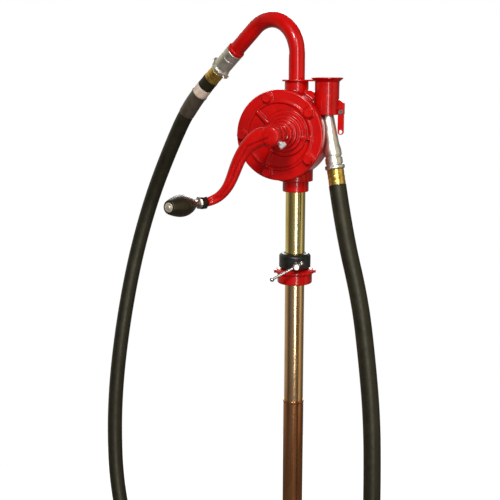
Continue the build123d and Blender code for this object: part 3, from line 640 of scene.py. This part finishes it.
def make_grip():
    """The barrel grip, its riveted end cap, its shouldered spindle and the nut against the arm."""
    place = axis_frame(ARM_END, GRIP_AXIS)
    turned_piece("handle_grip", place,
                 [(4.2, GRIP_START), (7.0, GRIP_START, 1.5), (11.2, GRIP_START + 4.5),
                  (15.6, GRIP_START + 15), (17.4, GRIP_START + 25), (17.4, GRIP_START + 33),
                  (15.8, GRIP_START + 43), (12.4, GRIP_END - 5), (11.0, GRIP_END - 1.2, 1),
                  (10.2, GRIP_END, 0.8), (8.6, GRIP_END, 0.6), (8.2, GRIP_END - 1.4, 0.4),
                  (4.2, GRIP_END - 1.4)], "grip", 5.5, closed=True, segments=SMOOTH_FACETS)
    turned_piece("handle_cap", place,
                 [(0, GRIP_END - 0.4), (7.6, GRIP_END - 0.3), (7.6, GRIP_END + 0.7, 0.8),
                  (5.4, GRIP_END + 1.5), (4.2, GRIP_END + 1.1), (3.4, GRIP_END + 2.2, 1.2),
                  (0, GRIP_END + 2.6)], "grip_cap", 0.6, finish="cream_rivet")
    turned_piece("handle_spindle", place,
                 [(0, -12), (4, -12), (4, NUT_TOP), (8.4, NUT_TOP), (9, NUT_TOP + 0.7),
                  (9, NUT_TOP + 2.4, 1), (6.4, NUT_TOP + 4.4, 2), (5.2, NUT_TOP + 7.4, 2), (5.2, 30),
                  (4, 30), (4, GRIP_END - 0.6), (0, GRIP_END - 0.6)], "grip_spindle", 0.5)
    turned_piece("handle_nut", place,
                 [(4.05, 0), (9.5, 0, 0.05), (9.5, NUT_TOP, 0.05), (8.2, NUT_TOP), (4.05, NUT_TOP - 0.1)],
                 "spindle_nut", 0.3, closed=True, shape=hex_head(NUT_FLATS, NUT_TOP, 9.8))


# ---------------------------------------------------------------- suction side
CLAMP_TURN = math.radians(21)     # from the front toward +X
CLAMP_HEIGHT = 19.5 * MM


def make_suction_side():
    """The two tubes, the clamp collar and its screw. The tommy bar is the CAD's own."""
    base = axis_frame((0, 0, 0), UP, (1, 0, 0))
    turned_piece("pipe_upper", base, [(16.8, -410), (16.8, 170), (14.2, 170), (14.2, -410)],
                 "suction_tube_upper", 0.6, closed=True, segments=SMOOTH_FACETS)
    turned_piece("pipe_lower", base,
                 [(17.8, -831), (17.8, -235.5), (18.4, -234.0, 1.5), (18.4, -231.4), (18.0, -231),
                  (16.9, -231), (16.9, -831)], "suction_tube_lower", 0.3, closed=True, segments=SMOOTH_FACETS)
    turned_piece("collar_ring", base,
                 [(22.3, 9), (25.6, 9), (27, 10.2), (27, 29.6), (26.0, 31.2), (22.6, 34), (19.4, 34),
                  (17.15, 31.6), (17.15, 14.3), (22.3, 14.3)],
                 "lock_collar", 0.7, closed=True, segments=SMOOTH_FACETS)
    screw = axis_frame((0, 0, CLAMP_HEIGHT), (math.sin(CLAMP_TURN), -math.cos(CLAMP_TURN), 0), UP)
    turned_piece("clamp_spindle", screw,
                 [(0, 17.15), (3.4, 17.2), (4, 18.4), (4, 39), (5.4, 39), (6, 39.8), (6, 51.4), (4.8, 53),
                  (0, 53)], "clamp_screw", 0.5)


# ---------------------------------------------------------------- spout and its fittings
SPOUT_HEADING = Vector((-0.934, 0.357, 0)).normalized()
SPOUT_BASE, SPOUT_RISE = 304.0, 368.0
BEND_RADIUS, BEND_TURN = 56.0, math.radians(129.0)
SPOUT_STRAIGHT = 61.0
SPOUT_RADIUS = 13.45
RISER_STEPS, BEND_STEPS, FALL_STEPS = 14, 48, 12


def spout_bend(turned_by):
    return (SPOUT_HEADING * BEND_RADIUS * (1 - math.cos(turned_by))
            + Vector((0, 0, SPOUT_RISE + BEND_RADIUS * math.sin(turned_by))))


def make_spout():
    """The bent outlet pipe, pinched a little on the inside where the bend starts and ends."""
    rise = SPOUT_RISE - SPOUT_BASE
    points = [Vector((0, 0, SPOUT_BASE + rise * i / RISER_STEPS)) for i in range(RISER_STEPS)]
    points += [spout_bend(BEND_TURN * i / BEND_STEPS) for i in range(BEND_STEPS)]
    way = SPOUT_HEADING * math.sin(BEND_TURN) + Vector((0, 0, math.cos(BEND_TURN)))
    points += [spout_bend(BEND_TURN) + way * SPOUT_STRAIGHT * i / FALL_STEPS for i in range(FALL_STEPS + 1)]
    count = len(points)
    start, end = RISER_STEPS / count, (RISER_STEPS + BEND_STEPS) / count
    # Depth as a share of the radius, middle and width, as shares of the pipe's points.
    pinches = ((0.045, start + 0.03, 0.035), (0.02, end - 0.02, 0.04))

    def wobble(t, angle):
        pinch = sum(depth * math.exp(-((t - middle) / width) ** 2) for depth, middle, width in pinches)
        inner = max(0.0, math.cos(angle))
        return 1 - pinch * (0.3 + 0.7 * inner)

    shell = bmesh.new()
    swept(shell, [p * MM for p in points], [SPOUT_RADIUS * MM] * count, SPOUT_HEADING, wobble=wobble)
    stand_for(finish_mesh("outlet_pipe", shell, FINISH["red_pipe"]), "spout")


OUTLET_LENGTH, OUTLET_FERRULE = 51.0, 24.0
NOZZLE_LENGTH, NOZZLE_FERRULE = 90.0, 26.0
FERRULE_RADIUS, FERRULE_BORE = 14.0, 9.5
CRIMPS = (0.36, 0.68)         # middles of the crimped bands, as shares of the ferrule's length
CRIMP_DEPTH = 0.35
CRIMP_FLOOR, CRIMP_TOP = 0.8, 2.2    # half a band's width at its floor and at its edges
CRIMP_ROUNDING = 1.0


def ferrule(name, end, way, toward, length, stands_for):
    """A brass hose ferrule crimped in two bands, with a chamfer at each end."""
    radius, bore = FERRULE_RADIUS, FERRULE_BORE
    corners = [(bore, 0), (radius - 0.7, 0), (radius, 0.9)]
    for share in CRIMPS:
        middle = length * share
        corners += [(radius, middle - CRIMP_TOP, CRIMP_ROUNDING),
                    (radius - CRIMP_DEPTH, middle - CRIMP_FLOOR, CRIMP_ROUNDING),
                    (radius - CRIMP_DEPTH, middle + CRIMP_FLOOR, CRIMP_ROUNDING),
                    (radius, middle + CRIMP_TOP, CRIMP_ROUNDING)]
    corners += [(radius, length - 1.0), (radius - 0.6, length), (bore, length)]
    return turned_piece(name, axis_frame(end, way, toward), corners, stands_for, 0.4, closed=True)


def make_outlet():
    place = axis_frame(SPOUT_END, SPOUT_WAY, UP)
    turned_piece("weld_bead", place,
                 [(13.3, -7), (14.6, -7.3, 1), (15.8, -5.6, 1.4), (15.8, -1.6, 1.4), (15.0, 0), (13.3, 0)],
                 "spout_bead", 0.6, closed=True)
    turned_piece("swivel_outlet", place,
                 [(10.5, 0), (15.1, 0), (15.7, 0.9), (15.7, 12.6), (15.2, 13.4), (15.2, 14.8), (15.7, 15.6),
                  (15.7, 38.5), (14.9, 39.6), (14.9, 41.2), (17.0, 42.2), (17.0, 47), (16.0, 48.4),
                  (14.6, 50.6), (14.0, 51), (10.5, 51)],
                 "outlet_coupling", 0.5, closed=True, lugs=(42, 14, 20.8, 6.5, 5))
    return ferrule("crimp_outlet", SPOUT_END + SPOUT_WAY * OUTLET_LENGTH * MM, SPOUT_WAY, UP, OUTLET_FERRULE,
                   "outlet_ferrule")


def make_nozzle():
    back = (0, 1, 0)
    place = axis_frame(NOZZLE_ROOT, NOZZLE_WAY, back)
    turned_piece("spout_nozzle", place,
                 [(5.8, -44), (6.8, -44), (7.6, -42.6), (7.8, -14, 6), (9.3, -8, 5), (9.9, 0, 6),
                  (12.5, 50, 8), (14.1, 57, 5), (14.4, 66), (13.6, 68.5), (10.0, 68.5), (9.6, 50),
                  (6.2, -8)], "nozzle", 0.6, closed=True, segments=SMOOTH_FACETS)
    turned_piece("swivel_nozzle", place,
                 [(10.0, 68.5), (12.6, 68.5), (12.8, 70.2), (13.9, 71.2), (14.3, 72.2), (14.3, 80.0),
                  (13.7, 81.0), (13.7, 82.4), (15.6, 83.4), (16.4, 84.6), (16.4, 88.0), (15.2, 90),
                  (10.0, 90)], "nozzle_coupling", 0.45, closed=True, lugs=(84, 14, 19.6, 6.5, 4.5))
    return ferrule("crimp_nozzle", NOZZLE_ROOT + NOZZLE_WAY * NOZZLE_LENGTH * MM, NOZZLE_WAY, back,
                   NOZZLE_FERRULE, "nozzle_ferrule")


# ---------------------------------------------------------------- hose, band and sleeve
HOSE_STEPS = 14               # between two points of the route
HOSE_BEVEL = 10               # Blender's bevel resolution, which gives 24 facets around


def make_hose():
    """The delivery hose, and the points along its middle line."""
    data = bpy.data.curves.new("delivery_hose", "CURVE")
    data.dimensions = "3D"
    spline = data.splines.new("NURBS")
    spline.points.add(len(HOSE_ROUTE) - 1)
    for point, place in zip(spline.points, HOSE_ROUTE):
        point.co = (*place, 1)
    spline.order_u = 3
    spline.use_endpoint_u = True
    spline.resolution_u = HOSE_STEPS
    hose = bpy.data.objects.new("delivery_hose", data)
    bpy.context.scene.collection.objects.link(hose)
    bpy.context.view_layer.update()
    line = bpy.data.meshes.new_from_object(hose)
    points = [v.co.copy() for v in line.vertices]
    data.bevel_depth = HOSE_RADIUS
    data.bevel_resolution = HOSE_BEVEL
    data.use_fill_caps = True
    data.materials.append(FINISH["black_rubber"])
    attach(hose, "pump")
    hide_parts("hose")
    return hose, points


def along(points, start, end, steps):
    """Places between two distances along a line of points."""
    travelled, out = 0.0, []
    marks = [start + (end - start) * i / steps for i in range(steps + 1)]
    for a, b in zip(points, points[1:]):
        run = (b - a).length
        while marks and travelled + run >= marks[0]:
            out.append(a.lerp(b, (marks[0] - travelled) / run))
            marks.pop(0)
        travelled += run
    return out


BAND_START, BAND_END, BAND_STEPS = 20.5 * MM, 39.0 * MM, 10
BAND_THICK, BAND_EDGE = 0.50, 0.25
SLEEVE_END, SLEEVE_STEPS = 92.0 * MM, 40
SLEEVE_THICK = 0.6
SLEEVE_LIFT, LIFT_STEPS = 0.9, 4
SWELLING, SWELLING_AT, SWELLING_STEPS = 0.2, 22, 7


def sleeve_thickness(step):
    """Lifted at the band, then thin, with a slight swelling halfway."""
    lifted = SLEEVE_LIFT * (1 - min(1, step / LIFT_STEPS))
    swelling = SWELLING * math.exp(-((step - SWELLING_AT) / SWELLING_STEPS) ** 2)
    return SLEEVE_THICK + lifted + swelling


def make_band(line):
    """The blank pale band near the outlet, and the shrunk sleeve below it with its lifted top edge."""
    shell = bmesh.new()
    edges = (0, BAND_STEPS)
    radii = [HOSE_RADIUS + (BAND_EDGE if i in edges else BAND_THICK) * MM for i in range(BAND_STEPS + 1)]
    swept(shell, along(line, BAND_START, BAND_END, BAND_STEPS), radii, UP)
    band = stand_for(finish_mesh("hose_label_band", shell, FINISH["pale_label"]), "hose_band")

    radii = [HOSE_RADIUS + sleeve_thickness(i) * MM for i in range(SLEEVE_STEPS + 1)]
    radii[0] -= 0.5 * MM
    radii[-1] = HOSE_RADIUS + 0.1 * MM

    def wobble(t, angle):
        """Its top edge is pulled to one side, and the rest isn't quite round."""
        return 1 + 0.016 * math.exp(-t / 0.12) * math.cos(angle - 1.1) + 0.004 * math.sin(3 * angle + 9 * t)

    shell = bmesh.new()
    swept(shell, along(line, BAND_END, SLEEVE_END, SLEEVE_STEPS), radii, UP, wobble=wobble)
    sleeve = finish_mesh("hose_sleeve", shell, FINISH["sleeve"])
    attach(sleeve, "pump")
    return [band, sleeve]


# ---------------------------------------------------------------- studio
# Name, place, target, width and height in metres, power in watts, and colour.
LIGHTS = [
    ("key", (0.30, -2.20, 1.85), (0, 0, 0.2), (0.50, 0.50), 57, (1, 0.975, 0.94)),
    ("back", (-0.7, 2.2, 1.1), (0, 0, 0.1), (1.4, 1.4), 42, (1, 0.99, 0.97)),
    ("window", (1.10, -1.90, 0.35), (0, 0, 0.0), (0.36, 2.5), 34, (0.95, 0.97, 1)),
]
# Brightness of the room around the object, by azimuth in degrees from -Y toward +X.
ROOM = [
    (-180, (0.22, 0.22, 0.22)),
    (-150, (0.95, 0.95, 0.95)),
    (-120, (0.62, 0.60, 0.52)),
    (-90, (0.55, 0.50, 0.40)),
    (-50, (0.06, 0.05, 0.04)),
    (-10, (0.20, 0.20, 0.21)),
    (20, (0.34, 0.34, 0.35)),
    (58, (0.06, 0.05, 0.04)),
    (86, (1.0, 0.85, 0.60)),
    (125, (0.10, 0.10, 0.10)),
    (172, (0.20, 0.20, 0.20)),
]
ROOM_LEVEL = 0.95             # in reflections
ROOM_FILL = 0.42              # as light on the object
CEILING = (0.14, 0.14, 0.14)
CEILING_FROM = 0.60           # sine of the elevation
GROUND = (0.10, 0.07, 0.05)
GROUND_FROM = 0.30            # sine of the angle below the horizon
FADE = 5.0                    # one over the sine in which the walls turn into ceiling or ground
WHITE = (1, 1, 1)
FLOOR_RADIUS = 1.7
FLOOR_GAP = 0.004             # metres under the lowest place that the object reaches


def area_light(name, place, target, size, power, colour):
    """A soft rectangular lamp that faces its target."""
    data = bpy.data.lights.new(name, "AREA")
    data.shape = "RECTANGLE"
    data.size, data.size_y = size
    data.energy = power
    data.color = colour
    light = bpy.data.objects.new(name, data)
    light.location = place
    light.rotation_euler = (Vector(target) - Vector(place)).to_track_quat("-Z", "Y").to_euler()
    bpy.context.scene.collection.objects.link(light)


def make_world():
    """A grey room for reflections and a weaker fill light. The camera itself sees plain white."""
    world = bpy.data.worlds.new("studio")
    world.use_nodes = True
    sky = Nodes(world.node_tree)
    way = sky.add("ShaderNodeSeparateXYZ", Vector=sky.add("ShaderNodeTexCoord").outputs["Generated"]).outputs
    azimuth = sky.maths("ARCTAN2", way["X"], sky.maths("MULTIPLY", way["Y"], -1.0))
    turn_share = sky.maths("ADD", sky.maths("DIVIDE", azimuth, 2 * math.pi), 0.5)
    walls = sky.ramp(turn_share, *((degrees / 360 + 0.5, colour) for degrees, colour in ROOM))

    def share(value, factor):
        """The value times the factor, held between 0 and 1."""
        return sky.maths("MINIMUM", sky.maths("MAXIMUM", sky.maths("MULTIPLY", value, factor), 0.0), 1.0)

    ceiling = share(sky.maths("SUBTRACT", way["Z"], CEILING_FROM), FADE)
    ground = share(sky.maths("ADD", way["Z"], GROUND_FROM), -FADE)
    room = sky.mix(ground, sky.mix(ceiling, walls, CEILING), GROUND)
    rays = sky.add("ShaderNodeLightPath").outputs
    weaker = sky.maths("MULTIPLY", rays["Is Diffuse Ray"], ROOM_LEVEL - ROOM_FILL)
    room = sky.mix(sky.maths("SUBTRACT", ROOM_LEVEL, weaker), (0, 0, 0), room)
    background = sky.tree.nodes["Background"]
    sky.put(sky.mix(rays["Is Camera Ray"], room, WHITE), background.inputs["Color"])
    sky.put(1.0, background.inputs["Strength"])
    bpy.context.scene.world = world


def make_floor():
    """A clean white floor that hardly lights the object from below.

    The pump and its lower tube can slide down, so the floor lies under their lowest place.
    """
    joints = {row["name"]: row for row in frame["record"]["behaviour"]["joints"]}
    travel = -sum(joints[name]["range_m"][0] for name in ("pump_height", "tube_telescope"))
    level = cad_box[0].z - travel - FLOOR_GAP
    shell = bmesh.new()
    bmesh.ops.create_circle(shell, cap_ends=True, segments=SMOOTH_FACETS, radius=FLOOR_RADIUS,
                            matrix=Matrix.Translation((0, 0, level)))
    data = bpy.data.meshes.new("floor")
    shell.to_mesh(data)
    shell.free()
    floor = bpy.data.objects.new("floor", data)
    bpy.context.scene.collection.objects.link(floor)
    s = Shader("floor_white")
    s.set(Base_Color=(0.16, 0.15, 0.14), Roughness=0.9, Specular_IOR_Level=0.1, Emission_Color=WHITE)
    s.link(s.add("ShaderNodeLightPath").outputs["Is Camera Ray"], "Emission Strength")
    data.materials.append(s.material)


def make_studio():
    make_floor()
    make_world()
    for row in LIGHTS:
        area_light(*row)
    bpy.context.scene.view_settings.view_transform = "Standard"


# ---------------------------------------------------------------- the whole model
make_camera()
finish_cad_nodes()
make_castings()
make_cover_bolts()
make_hub_pieces()
make_grip()
make_suction_side()
make_spout()
outlet_ferrule = make_outlet()
nozzle_ferrule = make_nozzle()
hose, hose_line = make_hose()
hose_pieces = make_band(hose_line) + [outlet_ferrule, nozzle_ferrule]
make_studio()
